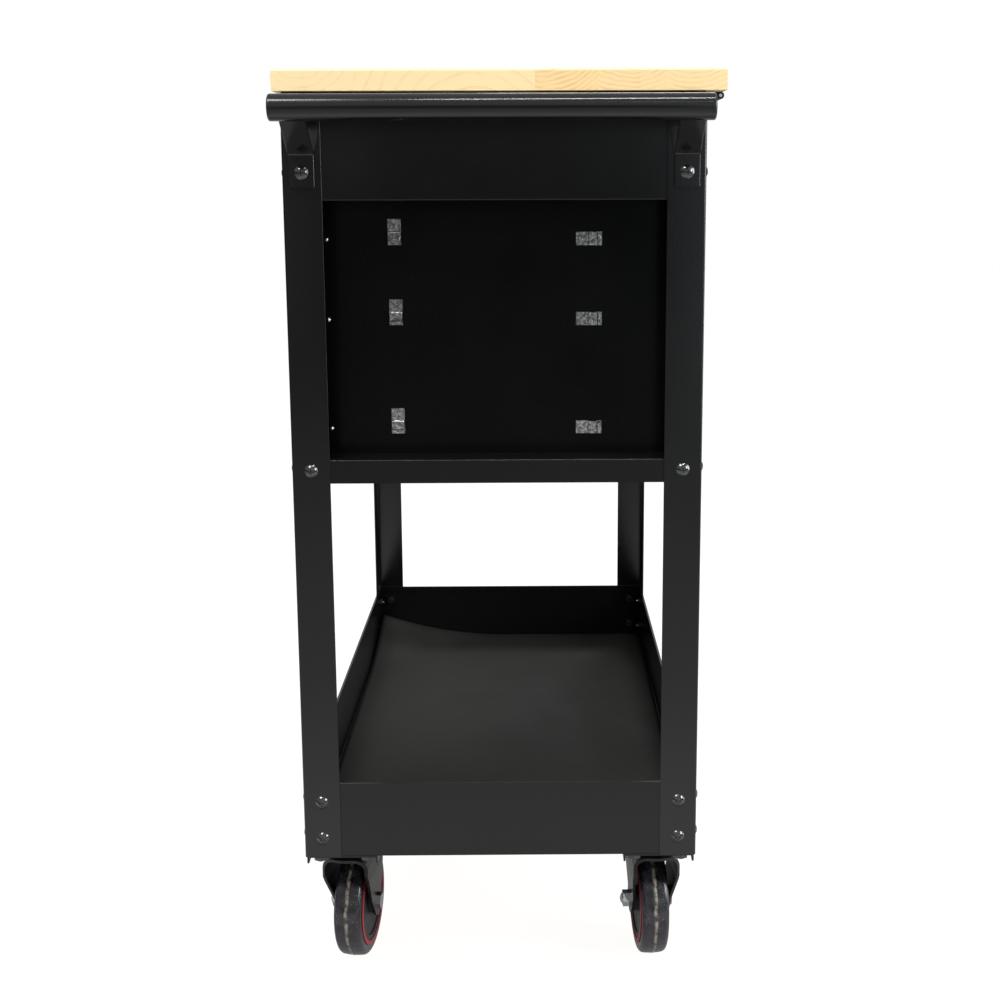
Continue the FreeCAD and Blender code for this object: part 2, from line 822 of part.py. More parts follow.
def caster_places():
    """Plan position of every caster."""
    x = half_length - caster_inset
    return [(x_side * x, y_side * caster_offset) for x_side in (-1, 1) for y_side in (-1, 1)]


def stud_places(x, y):
    """Plan position of the four studs of one caster."""
    return [(x + a * plate_stud_x, y + b * plate_stud_y) for a in (-1, 1) for b in (-1, 1)]


def caster_channels():
    """Reinforcing channels under the lower tray, lips down, one per caster."""
    channels = []
    for x, y in caster_places():
        x_side = 1 if x > 0 else -1
        outer_end = x_side * (tray_half_length - channel_inset)
        x_range = (outer_end, outer_end - x_side * channel_length)
        y_range = (y - channel_half_width, y + channel_half_width)
        web = block(x_range, y_range, (channel_bottom, bottom_tray_base))
        lips = []
        for side in (-1, 1):
            edge = y + side * channel_half_width
            lip_z = (bottom_tray_base - channel_lip, bottom_tray_base)
            lips.append(block(x_range, (edge, edge - side * channel_sheet), lip_z))
        channels.append(web.fuse(lips))
    return compound(channels)


def caster_studs():
    """Studs welded to the channels, each with its nut under the caster plate."""
    length = plate_thickness + stud_nut_height + stud_end
    pieces = []
    for x, y in caster_places():
        for stud_x, stud_y in stud_places(x, y):
            pieces.append(rod(stud_radius, Vector(stud_x, stud_y, channel_bottom - length), Z_AXIS, length))
            nut = hexagon(stud_nut_size, stud_nut_height)
            nut = nut.cut(Part.makeCylinder(stud_radius + nut_gap, stud_nut_height))
            nut.translate(Vector(stud_x, stud_y, plate_bottom - stud_nut_height))
            pieces.append(nut)
    return compound(pieces)


def mounting_plate(x, y):
    """Flat caster plate with four stud holes."""
    plate = block(
        (x - plate_length / 2, x + plate_length / 2),
        (y - plate_width / 2, y + plate_width / 2),
        (plate_bottom, channel_bottom),
    )
    hole_radius = stud_radius + stud_hole_gap
    hole_length = plate_thickness + 2 * clearance
    holes = [
        rod(hole_radius, Vector(a, b, plate_bottom - clearance), Z_AXIS, hole_length)
        for a, b in stud_places(x, y)
    ]
    return plate.cut(holes)


def swivel_plates():
    """Plates of the two swivel casters, each with its upper ball race."""
    plates = []
    for x, y in caster_places():
        if x > 0:
            race_bottom = fork_crown_top + race_gap
            race = Part.makeCone(
                race_radius - race_taper, race_radius, plate_bottom - race_bottom, Vector(x, y, race_bottom)
            )
            bore_length = channel_bottom - race_bottom + 2 * clearance
            bore_start = Vector(x, y, race_bottom - clearance)
            bore = rod(kingpin_radius + running_gap, bore_start, Z_AXIS, bore_length)
            plates.append(mounting_plate(x, y).fuse(race).cut(bore))
    return compound(plates)


def caster_kingpins():
    """Headed pins that hold the two swivel forks."""
    pins = []
    for x, y in caster_places():
        if x > 0:
            head = rod(kingpin_head_radius, Vector(x, y, kingpin_bottom), Z_AXIS, kingpin_head_height)
            shank = rod(kingpin_radius, Vector(x, y, kingpin_bottom), Z_AXIS, channel_bottom - kingpin_bottom)
            pins.append(head.fuse(shank))
    return compound(pins)


def fork_section(crown_top):
    """Front view of a pressed fork: crown, sloping shoulders and upright arms."""
    eye_bottom = axle_height - fork_eye_radius
    outer = [
        (fork_arm_half_width, eye_bottom),
        (fork_arm_half_width, fork_shoulder_bottom),
        (fork_crown_half_width, fork_shoulder_top),
        (fork_crown_half_width, crown_top),
    ]
    inner = [
        (fork_crown_half_width - fork_sheet, crown_top - fork_sheet),
        (fork_crown_half_width - fork_sheet, fork_shoulder_top),
        (fork_arm_half_width - fork_sheet, fork_shoulder_bottom),
        (fork_arm_half_width - fork_sheet, eye_bottom),
    ]
    right = outer + [(-y, z) for y, z in reversed(outer)]
    left = [(-y, z) for y, z in reversed(inner)] + inner
    return [Vector(-fork_blank, y, z) for y, z in right + left]


def fork_bend_edges(bent, half_width_at, height):
    """The long edges of a fork blank at one bend, on both arms."""
    return [
        edge for edge in bent.Edges
        if edge.BoundBox.XLength > fork_blank
        and abs(abs(edge.CenterOfMass.y) - half_width_at) < tolerance
        and abs(edge.CenterOfMass.z - height) < tolerance
    ]


def fork(trail, crown_top, crown_front, crown_rear):
    """A fork about a vertical swivel axis at the origin; its wheel trails towards -X."""
    bent = prism(fork_section(crown_top), Vector(2 * fork_blank, 0, 0))
    inner_crown_half = fork_crown_half_width - fork_sheet
    inner_arm_half = fork_arm_half_width - fork_sheet
    wide_bend = fork_shoulder_bend + fork_sheet
    bends = [
        (fork_crown_half_width, crown_top, fork_crown_outer_bend),
        (inner_crown_half, crown_top - fork_sheet, fork_crown_inner_bend),
        (fork_crown_half_width, fork_shoulder_top, wide_bend),
        (inner_crown_half, fork_shoulder_top, fork_shoulder_bend),
        (fork_arm_half_width, fork_shoulder_bottom, fork_shoulder_bend),
        (inner_arm_half, fork_shoulder_bottom, wide_bend),
    ]
    for half, height, radius in bends:
        bent = bent.makeFillet(radius, fork_bend_edges(bent, half, height))
    side = fork_side(trail, crown_top, crown_front, crown_rear)
    return bent.common(side).common(fork_plan(crown_top, crown_front))


def eye_direction(angle):
    """Unit vector in the XZ plane, so many degrees above +X."""
    return Vector(math.cos(math.radians(angle)), 0, math.sin(math.radians(angle)))


def fork_side(trail, crown_top, crown_front, crown_rear):
    """Side view of a fork as a wide solid: crown, tapering arms, round eyes and the axle hole."""
    reach = 2 * fork_crown_half_width
    eye_centre = Vector(-trail, -reach, axle_height)
    front_tangent = eye_centre + eye_direction(fork_front_tangent) * fork_eye_radius
    rear_tangent = eye_centre + eye_direction(fork_rear_tangent) * fork_eye_radius
    front_corner = Vector(crown_front, -reach, crown_top - fork_front_skirt)
    side = prism(
        [
            Vector(-crown_rear, -reach, crown_top + clearance),
            Vector(crown_front, -reach, crown_top + clearance),
            front_corner,
            front_tangent,
            eye_centre,
            rear_tangent,
            Vector(-crown_rear, -reach, crown_top - fork_rear_skirt),
        ],
        Vector(0, 2 * reach, 0),
    )
    side = side.makeFillet(fork_front_curve, edges_through(side, front_corner, Y_AXIS))
    eye = rod(fork_eye_radius, eye_centre, Y_AXIS, 2 * reach)
    axle_hole = rod(axle_radius + axle_hole_gap, eye_centre, Y_AXIS, 2 * reach)
    return side.fuse(eye).cut(axle_hole)


def fork_plan(crown_top, front_radius):
    """Top view of a fork as a tall solid: round in front of the swivel axis, straight behind it."""
    height = crown_top + clearance
    front = Part.makeCylinder(front_radius, height)
    rear = block(
        (-fork_blank, fork_crown_square), (-fork_crown_half_width, fork_crown_half_width), (0, height)
    )
    return front.fuse(rear)


def swivel_fork():
    """Fork of a swivel caster, with its lower ball race pressed in."""
    bore_start = Vector(0, 0, fork_crown_top - fork_sheet - clearance)
    bore = rod(kingpin_radius + running_gap, bore_start, Z_AXIS, fork_sheet + 2 * clearance)
    return fork(caster_trail, fork_crown_top, swivel_crown_front, swivel_crown_rear).cut(bore)


def rigid_forks():
    """Plates and forks of the two fixed casters, each welded into one piece."""
    forks = []
    for x, y in caster_places():
        if x < 0:
            body = fork(0.0, plate_bottom, rigid_crown_reach, rigid_crown_reach)
            body.translate(Vector(x, y, 0))
            forks.append(mounting_plate(x, y).fuse(body))
    return compound(forks)


def axle_bolt():
    """Wheel bolt along Y at the origin: head on the +Y arm, domed lock nut on the -Y arm."""
    arm = fork_arm_half_width
    shank = rod(axle_radius, Vector(0, -arm, 0), Y_AXIS, 2 * arm)
    head = placed(hexagon(axle_nut_size, axle_head_height), Vector(0, arm, 0), Y_AXIS)
    nut = placed(hexagon(axle_nut_size, axle_nut_height), Vector(0, -arm, 0), -Y_AXIS)
    cap = placed(dome(axle_cap_radius, axle_cap_height), Vector(0, -arm - axle_nut_height, 0), -Y_AXIS)
    return shank.fuse([head, nut, cap])


def ring_along_y(outer_radius, inner_radius, y_range):
    """A flat ring about the Y axis."""
    start = Vector(0, y_range[0], 0)
    length = y_range[1] - y_range[0]
    return rod(outer_radius, start, Y_AXIS, length).cut(rod(inner_radius, start, Y_AXIS, length))


def tyre():
    """Solid rubber tread with rounded shoulders."""
    band = ring_along_y(wheel_radius, tread_inner_radius, (-wheel_width / 2, wheel_width / 2))
    shoulders = [
        edge for edge in band.Edges
        if edge.Curve.TypeId == "Part::GeomCircle" and abs(edge.Curve.Radius - wheel_radius) < tolerance
    ]
    return band.makeFillet(tread_corner, shoulders)


def stripe_rings():
    """Raised coloured ring on each side of the tyre."""
    face = wheel_width / 2
    near = ring_along_y(ring_outer_radius, ring_inner_radius, (face, face + ring_height))
    far = ring_along_y(ring_outer_radius, ring_inner_radius, (-face - ring_height, -face))
    return compound([near, far])


def wheel_hub():
    """Moulded wheel centre: rim, web and boss with a running bore."""
    rim_inner = tread_inner_radius - hub_rim
    rim = ring_along_y(tread_inner_radius, rim_inner, (-wheel_width / 2, wheel_width / 2))
    web = ring_along_y(rim_inner + hub_overlap, hub_boss_radius - hub_overlap, (-hub_web / 2, hub_web / 2))
    boss = ring_along_y(hub_boss_radius, axle_radius, (-hub_width / 2, hub_width / 2))
    bore = rod(axle_radius + running_gap, Vector(0, -hub_width, 0), Y_AXIS, 2 * hub_width)
    return rim.fuse([web, boss]).cut(bore)


def at_wheel(shape, x, y, trail, yaw):
    """Put a piece drawn about its axle under one caster."""
    copy = shape.copy()
    copy.translate(Vector(-trail, 0, axle_height))
    return at_swivel(copy, x, y, yaw)


def at_swivel(shape, x, y, yaw):
    """Put a piece drawn about the swivel axis at one caster's place."""
    copy = shape.copy()
    copy.rotate(Vector(0, 0, 0), Z_AXIS, yaw)
    copy.translate(Vector(x, y, 0))
    return copy


def save_casters():
    """Write the nodes of all four casters."""
    save("caster_channels", caster_channels())
    save("caster_studs", caster_studs())
    save("swivel_plates", swivel_plates())
    save("caster_kingpins", caster_kingpins())
    save("rigid_forks", rigid_forks())
    rigid_axles = []
    for x, y in caster_places():
        end = "handle" if x > 0 else "far"
        side = "front" if y < 0 else "rear"
        trail = caster_trail if x > 0 else 0.0
        yaw = 0.0
        if x > 0:
            yaw = front_caster_yaw if y < 0 else rear_caster_yaw
        axle = axle_bolt()
        if x > 0:
            save("caster_fork_" + side, at_swivel(swivel_fork(), x, y, yaw))
            save("caster_axle_" + side, at_wheel(axle, x, y, trail, yaw))
        else:
            rigid_axles.append(at_wheel(axle, x, y, trail, yaw))
        wheel_name = end + "_" + side
        save("tyre_" + wheel_name, at_wheel(tyre(), x, y, trail, yaw))
        save("stripe_ring_" + wheel_name, at_wheel(stripe_rings(), x, y, trail, yaw))
        save("wheel_hub_" + wheel_name, at_wheel(wheel_hub(), x, y, trail, yaw))
    save("rigid_axles", compound(rigid_axles))


def save_drawers():
    """Write the nodes of the three drawers and their slides."""
    save("slide_outer_rails", outer_rails())
    save("slide_screws", slide_screws())
    for row, name in enumerate(("top", "middle", "bottom")):
        save("drawer_box_" + name, drawer_box(row))
        save("drawer_front_" + name, drawer_front(row))
        save("drawer_pull_" + name, drawer_pull(row))
        save("slide_inner_rails_" + name, inner_rails(row))
        save("slide_middle_rails_" + name, middle_rails(row))


def save_frame():
    """Write the nodes of the frame, the trays and the cabinet."""
    for x_side, end in ((1, "handle"), (-1, "far")):
        for y_side, side in ((-1, "front"), (1, "rear")):
            save("leg_" + end + "_" + side, leg(x_side, y_side))
        save("end_panel_" + end, end_panel(x_side))
    save("bottom_tray", bottom_tray())
    save("bottom_mat", bottom_mat())
    save("middle_shelf", middle_shelf())
    save("top_tray", top_tray())
    save("back_panel", back_panel())
    save("frame_screws", frame_screws())
    save("frame_nuts", frame_nuts())


def save_lid_and_handle():
    """Write the nodes of the lid, its hinge and the push handle."""
    save("wood_top", wood_top())
    save("hinge_fixed_leaf", hinge_fixed_leaf())
    save("hinge_moving_leaf", hinge_moving_leaf())
    save("hinge_pin", hinge_pin())
    save("handle_tube", handle_tube())
    save("handle_end_caps", handle_end_caps())
    save("handle_bracket_front", handle_bracket(-1))
    save("handle_bracket_rear", handle_bracket(1))


os.makedirs("parts", exist_ok=True)
save_frame()
save_drawers()
save_lid_and_handle()
save_casters()
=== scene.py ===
"""Looks of the tool cart: finishes, rubber mat, tyres, small hardware, studio and camera.

Metres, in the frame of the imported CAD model. The floor is z = 0, +X points to the handle end and
-Y to the drawer side.
"""
import math
from collections import namedtuple

import bpy
from mathutils import Matrix, Vector


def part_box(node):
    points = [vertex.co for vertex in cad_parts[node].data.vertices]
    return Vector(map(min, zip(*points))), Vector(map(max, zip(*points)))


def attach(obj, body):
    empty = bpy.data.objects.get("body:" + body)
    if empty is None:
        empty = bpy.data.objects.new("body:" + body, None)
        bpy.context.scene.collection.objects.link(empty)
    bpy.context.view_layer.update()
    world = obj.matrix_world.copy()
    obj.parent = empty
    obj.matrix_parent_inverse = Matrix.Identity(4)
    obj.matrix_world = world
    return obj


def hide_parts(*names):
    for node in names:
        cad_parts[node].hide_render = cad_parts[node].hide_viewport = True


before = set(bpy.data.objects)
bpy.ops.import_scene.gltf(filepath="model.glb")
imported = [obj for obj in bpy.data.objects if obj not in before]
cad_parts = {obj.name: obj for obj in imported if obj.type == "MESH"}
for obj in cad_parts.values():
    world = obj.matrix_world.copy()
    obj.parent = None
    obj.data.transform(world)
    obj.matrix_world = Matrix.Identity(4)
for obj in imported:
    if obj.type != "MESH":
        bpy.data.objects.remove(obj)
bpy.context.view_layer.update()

# ---- sizes and places -----------------------------------------------------------------------------

# Rubber mat: cut size, and the curl of its corner at the far end of the drawer side
mat_width = 0.402
mat_length = 0.772
mat_thickness = 0.0028
mat_curl_along_end = 0.190
mat_curl_along_front = 0.190
mat_curl_radius = 0.258
mat_cell = 0.006

# Wheels
wheel_radius = 0.060
tyre_half_width = 0.015
tyre_inner_radius = 0.043
tyre_corner = 0.006
tyre_crown = 0.0006             # the tread is this much lower at its shoulders
tyre_seam_height = 0.0003
tyre_seam_half_width = 0.0007
tyre_sidewall_width = 0.0085    # the flat ring outside the rim
tyre_sidewall_inset = 0.0002
tyre_rim_gap = 0.0002
tyre_tread_steps = 8
tyre_corner_steps = 8
tyre_segments = 144
caster_yaws = {"tyre_handle_front": -8.0, "tyre_handle_rear": 4.0}    # degrees

# Ball cages of the drawer slides, at the front end of each middle rail
cage_length = 0.130
cage_setback = 0.006
cage_half_height = 0.0158
cage_sheet = 0.0006
cage_from_web = 0.0006          # between the cage and the middle rail's web
rail_sheet = 0.0012
ball_radius = 0.0015
ball_height = 0.01525           # above and below the slide's centre line
ball_from_web = 0.0032
balls_in_row = 9
ball_steps = 8
ball_segments = 12

# Screws of the hinge's fixed leaf
hinge_screw_count = 9
hinge_screw_inset = 0.040       # first screw from the end of the hinge
hinge_screw_drop = 0.016        # below the top of the leaf
hinge_screw_radius = 0.0032
hinge_screw_height = 0.0014
hinge_leaf_sheet = 0.0012
hinge_screw_segments = 20
# Half outline with a recess in the head: (share of the radius, share of the height above the leaf)
hinge_screw_outline = (
    (0.0, -0.5), (1.0, -0.5), (1.0, 0.25), (0.8, 0.75), (0.35, 1.0), (0.25, 0.55), (0.0, 0.5),
)

# Boards of the lid, from the drawer side to the hinge side: the share of the lid's width where a
# board starts, the heart of its rings along Y and Z, its ring spacing, and how golden it is
Board = namedtuple("Board", "start heart_y heart_z spacing golden")
lid_boards = (
    Board(0.000, -0.189, 0.981, 0.0085, 0.10),
    Board(0.155, -0.024, 0.890, 0.0130, 0.25),
    Board(0.576, 0.034, 1.020, 0.0042, 1.00),
    Board(0.714, 0.122, 0.997, 0.0042, 0.75),
    Board(0.864, 0.188, 0.997, 0.0046, 0.60),
)

# Camera
camera_place = Vector((1.80979, 0.02928, 0.84415))
camera_pitch = math.radians(10.45)
camera_yaw = math.radians(0.481)
camera_roll = math.radians(-0.181)
camera_lens = 53.14
camera_sensor = 36.0
camera_shift = (-0.0442, -0.0381)

# Studio floor: how brightly it shows, and how its light fades away from the cart (metres, level)
floor_radius = 14.0
floor_rings = (1.0, 3.0, floor_radius)
floor_segments = 64
floor_grey = 0.12
floor_tint = (1.0, 0.99, 0.97, 1.0)
floor_seen_glow = 0.97
# What reflections see: a painted shadow under the cart, a bright ring just beyond it, then a glow that fades
# away.
floor_glow = (
    (0.0, 0.25), (0.45, 0.30), (0.7, 0.90), (1.4, 0.45), (3.0, 0.28), (6.0, 0.06), (14.0, 0.03),
)

# Room that reflections see: brightness low down and overhead, each at a height of the view direction
room_low_height = 0.05
room_low_glow = 0.07
room_high_height = 0.28
room_high_glow = 0.60
room_tint = (0.96, 0.98, 1.0, 1)

# Studio lights: place, the point they look at, size, brightness of the face, and tint
Light = namedtuple("Light", "name place target size radiance tint")
neutral = (1.0, 1.0, 1.0)
cart_middle = (0.3, 0.0, 0.6)
lid_middle = (0.4, 0.1, 0.9)
studio_lights = (
    Light("left_box", (1.40, -0.95, 2.65), cart_middle, (0.9, 0.8), 16.0, neutral),
    Light("right_box", (1.35, 2.0, 1.35), cart_middle, (0.8, 1.1), 12.0, (0.90, 0.96, 1.0)),
    Light("right_side_box", (0.4, 3.0, 1.2), cart_middle, (0.8, 2.4), 9.0, (0.92, 0.97, 1.0)),
    Light("overhead_strip", (1.07, 0.45, 2.80), lid_middle, (1.5, 0.08), 50.0, neutral),
    Light("thin_strip", (2.8, 0.9, 2.77), lid_middle, (1.4, 0.03), 10.0, neutral),
    Light("back_box", (-2.4, 0.5, 2.2), cart_middle, (1.2, 0.8), 6.0, neutral),
    Light("right_wall", (4.2, 1.55, 0.95), (0.0, 0.2, 0.6), (1.9, 1.9), 0.65, (0.82, 0.95, 1.0)),
    Light("left_wall", (4.2, -1.75, 1.25), (0.0, -0.2, 0.6), (1.9, 1.9), 0.30, (0.95, 0.98, 1.0)),
)

# ---- shader helpers -------------------------------------------------------------------------------

# Places of a colour Mix node's sockets, which share their names with its other kinds
MIX_SHARE = 0
MIX_FIRST = 6
MIX_SECOND = 7
MIX_COLOUR = 2

# Nearly all values of a noise fall between these
NOISE_LOW = 0.3
NOISE_HIGH = 0.7

# Detail of the noise that makes a plain finish's relief
RELIEF_DETAIL = 3.0


class Finish:
    """One material: a Principled shader and the nodes that feed it."""

    def __init__(self, name, settings):
        self.material = bpy.data.materials.new(name)
        self.material.use_nodes = True
        self.tree = self.material.node_tree
        self.shader = self.tree.nodes["Principled BSDF"]
        for socket, value in settings.items():
            self.shader.inputs[socket].default_value = value
        self.place = self.add("ShaderNodeTexCoord").outputs["Object"]

    def add(self, kind, inputs=None, **settings):
        """A new node, with its settings made and its inputs set or linked."""
        node = self.tree.nodes.new(kind)
        for name, value in settings.items():
            setattr(node, name, value)
        for socket, value in (inputs or {}).items():
            if isinstance(value, bpy.types.NodeSocket):
                self.tree.links.new(value, node.inputs[socket])
            else:
                node.inputs[socket].default_value = value
        return node

    def stretched(self, x, y, z):
        """Object coordinates scaled apart along the three axes."""
        mapping = self.add("ShaderNodeMapping", {"Vector": self.place, "Scale": (x, y, z)})
        return mapping.outputs["Vector"]

    def noise(self, scale, detail=4.0, roughness=0.5, vector=None, distortion=0.0):
        """Soft noise of 0 to 1; scale is in cycles a metre."""
        node = self.add(
            "ShaderNodeTexNoise",
            {
                "Vector": vector or self.place,
                "Scale": scale,
                "Detail": detail,
                "Roughness": roughness,
                "Distortion": distortion,
            },
        )
        return node.outputs["Fac"]

    def maths(self, operation, first, second=0.0):
        """One sum on two values."""
        return self.add("ShaderNodeMath", {0: first, 1: second}, operation=operation).outputs[0]

    def spread(self, value, low, high, to_low=0.0, to_high=1.0):
        """value taken from low..high to to_low..to_high, and kept inside."""
        node = self.add(
            "ShaderNodeMapRange",
            {"Value": value, "From Min": low, "From Max": high, "To Min": to_low, "To Max": to_high},
        )
        return node.outputs["Result"]

    def blend(self, share, first, second):
        """A colour that goes from first to second as share goes from 0 to 1."""
        inputs = {MIX_SHARE: share, MIX_FIRST: first, MIX_SECOND: second}
        return self.add("ShaderNodeMix", inputs, data_type="RGBA").outputs[MIX_COLOUR]

    def feed(self, socket, value):
        """Link a node's output to the shader."""
        self.tree.links.new(value, self.shader.inputs[socket])

    def roughness(self, noise, low, high):
        """Roughness that goes from low to high with a noise."""
        self.feed("Roughness", self.spread(noise, NOISE_LOW, NOISE_HIGH, low, high))

    def bump(self, height, distance):
        """Surface relief of the given depth in metres."""
        node = self.add("ShaderNodeBump", {"Height": height, "Distance": distance, "Strength": 1.0})
        self.feed("Normal", node.outputs["Normal"])


def grey(value, tint=(1.0, 1.0, 1.0)):
    """A colour from one brightness and a tint."""
    return (value * tint[0], value * tint[1], value * tint[2], 1.0)


# ---- finishes -------------------------------------------------------------------------------------


def mottled(name, settings, pattern, colours, roughness, relief):
    """A finish whose colour and roughness follow one soft noise, over a finer relief.

    pattern is the noise's scale, detail and roughness; colours and roughness are at its low and
    high ends; relief is the scale and the depth in metres.
    """
    finish = Finish(name, settings)
    shade = finish.noise(*pattern)
    finish.feed("Base Color", finish.blend(shade, *colours))
    finish.roughness(shade, *roughness)
    relief_scale, relief_depth = relief
    finish.bump(finish.noise(relief_scale, RELIEF_DETAIL), relief_depth)
    return finish.material


def bright_zinc():
    """Polished zinc of the axle bolts, the slide screws and the hinge pin."""
    return mottled(
        "bright_zinc",
        {"Metallic": 1.0},
        pattern=(220.0, 4.0, 0.6),
        colours=(grey(0.45), grey(0.80, (0.98, 1.0, 1.02))),
        roughness=(0.05, 0.12),
        relief=(300.0, 0.00005),
    )


def dull_steel():
    """Dark steel of the caster studs and the frame nuts."""
    return mottled(
        "dull_steel",
        {"Metallic": 1.0},
        pattern=(300.0, 4.0, 0.6),
        colours=(grey(0.06), grey(0.13)),
        roughness=(0.28, 0.42),
        relief=(300.0, 0.00005),
    )


def black_oxide():
    """Polished black oxide of the screws."""
    return mottled(
        "black_oxide",
        {"IOR": 1.8},
        pattern=(500.0, 3.0),
        colours=(grey(0.006), grey(0.014)),
        roughness=(0.07, 0.14),
        relief=(900.0, 0.00004),
    )


def red_plastic():
    """Moulded red ring."""
    return mottled(
        "red_plastic",
        {"IOR": 1.46},
        pattern=(130.0, 3.0),
        colours=((0.33, 0.020, 0.036, 1), (0.46, 0.035, 0.055, 1)),
        roughness=(0.34, 0.46),
        relief=(900.0, 0.00004),
    )


def moulded_plastic(name, brightness, roughness):
    """Black moulded plastic with a fine grain."""
    return mottled(
        name,
        {"IOR": 1.48},
        pattern=(60.0, 4.0),
        colours=(grey(brightness * 0.85), grey(brightness * 1.15)),
        roughness=(roughness * 0.85, roughness * 1.15),
        relief=(1100.0, 0.00004),
    )


def enamel(name, brightness, roughness, gloss):
    """Baked black enamel: a faint orange peel, cloudy gloss and a little dust."""
    dust_colour = grey(0.05)
    dust_cover = 0.25
    peel_depth = 0.00003
    finish = Finish(name, {"Specular IOR Level": gloss})
    clouds = finish.noise(9.0, 3.0)
    dust = finish.spread(finish.noise(900.0, 2.0, 0.6), 0.62, 0.80)
    body = finish.blend(clouds, grey(brightness * 0.85), grey(brightness * 1.15))
    finish.feed("Base Color", finish.blend(finish.maths("MULTIPLY", dust, dust_cover), body, dust_colour))
    finish.roughness(clouds, roughness * 0.85, roughness * 1.2)
    finish.bump(finish.noise(420.0, 2.0), peel_depth)
    return finish.material


def rubber_sheet():
    """Matt black rubber with a fine grain."""
    tint = (1.04, 1.0, 0.88)
    deep_black = grey(0.011, tint)
    worn_black = grey(0.019, tint)
    grain_tip = grey(0.036, tint)
    grain_depth = 0.00012
    finish = Finish("rubber_sheet", {"Specular IOR Level": 0.16})
    clouds = finish.noise(16.0, 5.0, 0.6)
    grain = finish.noise(1400.0, 2.0, 0.7)
    base = finish.blend(finish.spread(clouds, NOISE_LOW, NOISE_HIGH), deep_black, worn_black)
    finish.feed("Base Color", finish.blend(finish.spread(grain, 0.45, 0.75), base, grain_tip))
    finish.roughness(clouds, 0.62, 0.74)
    finish.bump(grain, grain_depth)
    return finish.material


def zinc_plate():
    """Bright zinc over steel, with fine drawing lines and a spangle whose colour also carries painted glints
    and painted shade.
    """
    shaded_zinc = grey(0.28, (1.0, 1.0, 0.92))
    bright_face = grey(0.80)
    spangle_depth = 0.00025
    finish = Finish("zinc_plate", {"Metallic": 1.0})
    drawing_lines = finish.noise(900.0, 3.0, vector=finish.stretched(1.0, 0.03, 1.0))
    spangle_and_painted_glints = finish.noise(330.0, 3.0, 0.55)
    # Colour between a shaded and a bright zinc over the spangle: the spangle's own tone, with painted glints
    # and painted shade.
    finish.feed("Base Color", finish.blend(finish.spread(spangle_and_painted_glints, 0.38, 0.62), shaded_zinc, bright_face))
    finish.roughness(drawing_lines, 0.10, 0.24)
    finish.bump(spangle_and_painted_glints, spangle_depth)
    return finish.material


def board_value(finish, share, field, lowest, highest):
    """A field of the board that share falls on, carried by a stepped ramp from lowest to highest."""
    ramp = finish.add("ShaderNodeValToRGB", {"Fac": share})
    ramp.color_ramp.interpolation = "CONSTANT"
    points = ramp.color_ramp.elements
    while len(points) < len(lid_boards):
        points.new(1.0)
    for point, board in zip(points, lid_boards):
        point.position = board.start
        point.color = grey((getattr(board, field) - lowest) / (highest - lowest))
    return finish.spread(ramp.outputs["Color"], 0.0, 1.0, lowest, highest)


def ring_phase(finish, share, along_y, along_z):
    """How far through its growth ring a point is, 0 to 1, with rings that wander a little."""
    slow_wander = 0.003
    fine_wander = 0.0006
    heart_y = board_value(finish, share, "heart_y", -0.25, 0.25)
    heart_z = board_value(finish, share, "heart_z", 0.85, 1.05)
    spacing = board_value(finish, share, "spacing", 0.0, 0.02)
    across = finish.maths("ABSOLUTE", finish.maths("SUBTRACT", along_y, heart_y))
    up = finish.maths("ABSOLUTE", finish.maths("SUBTRACT", along_z, heart_z))
    square = finish.maths("ADD", finish.maths("POWER", across, 2.0), finish.maths("POWER", up, 2.0))
    radius = finish.maths("SQRT", square)
    slow = finish.noise(22.0, 2.0, vector=finish.stretched(0.12, 1.0, 1.0))
    fine = finish.noise(120.0, 3.0, vector=finish.stretched(0.05, 1.0, 1.0))
    radius = finish.maths("ADD", radius, finish.spread(slow, 0.2, 0.8, -slow_wander, slow_wander))
    radius = finish.maths("ADD", radius, finish.spread(fine, 0.2, 0.8, -fine_wander, fine_wander))
    return finish.maths("FRACT", finish.maths("DIVIDE", radius, spacing))


def late_wood_share(finish, phase, golden):
    """How much of the darker late wood shows; golden boards have broader and darker bands."""
    band_start = 0.35
    band_peak = 0.93
    after_band = 0.1
    band = finish.add("ShaderNodeValToRGB", {"Fac": phase})
    points = band.color_ramp.elements
    points[0].position = band_start
    points[0].color = grey(0.0)
    points[1].position = band_peak
    points[1].color = grey(1.0)
    points.new(1.0).color = grey(after_band)
    weight = finish.spread(finish.noise(60.0, 2.0), 0.35, 0.65, 0.25, 1.0)
    thinness = finish.spread(golden, 0.25, 0.60, 3.5, 1.0)
    late_wood = finish.maths("POWER", band.outputs["Color"], thinness)
    late_wood = finish.maths("MULTIPLY", late_wood, weight)
    return finish.maths("MULTIPLY", late_wood, finish.spread(golden, 0.0, 1.0, 0.45, 0.75))


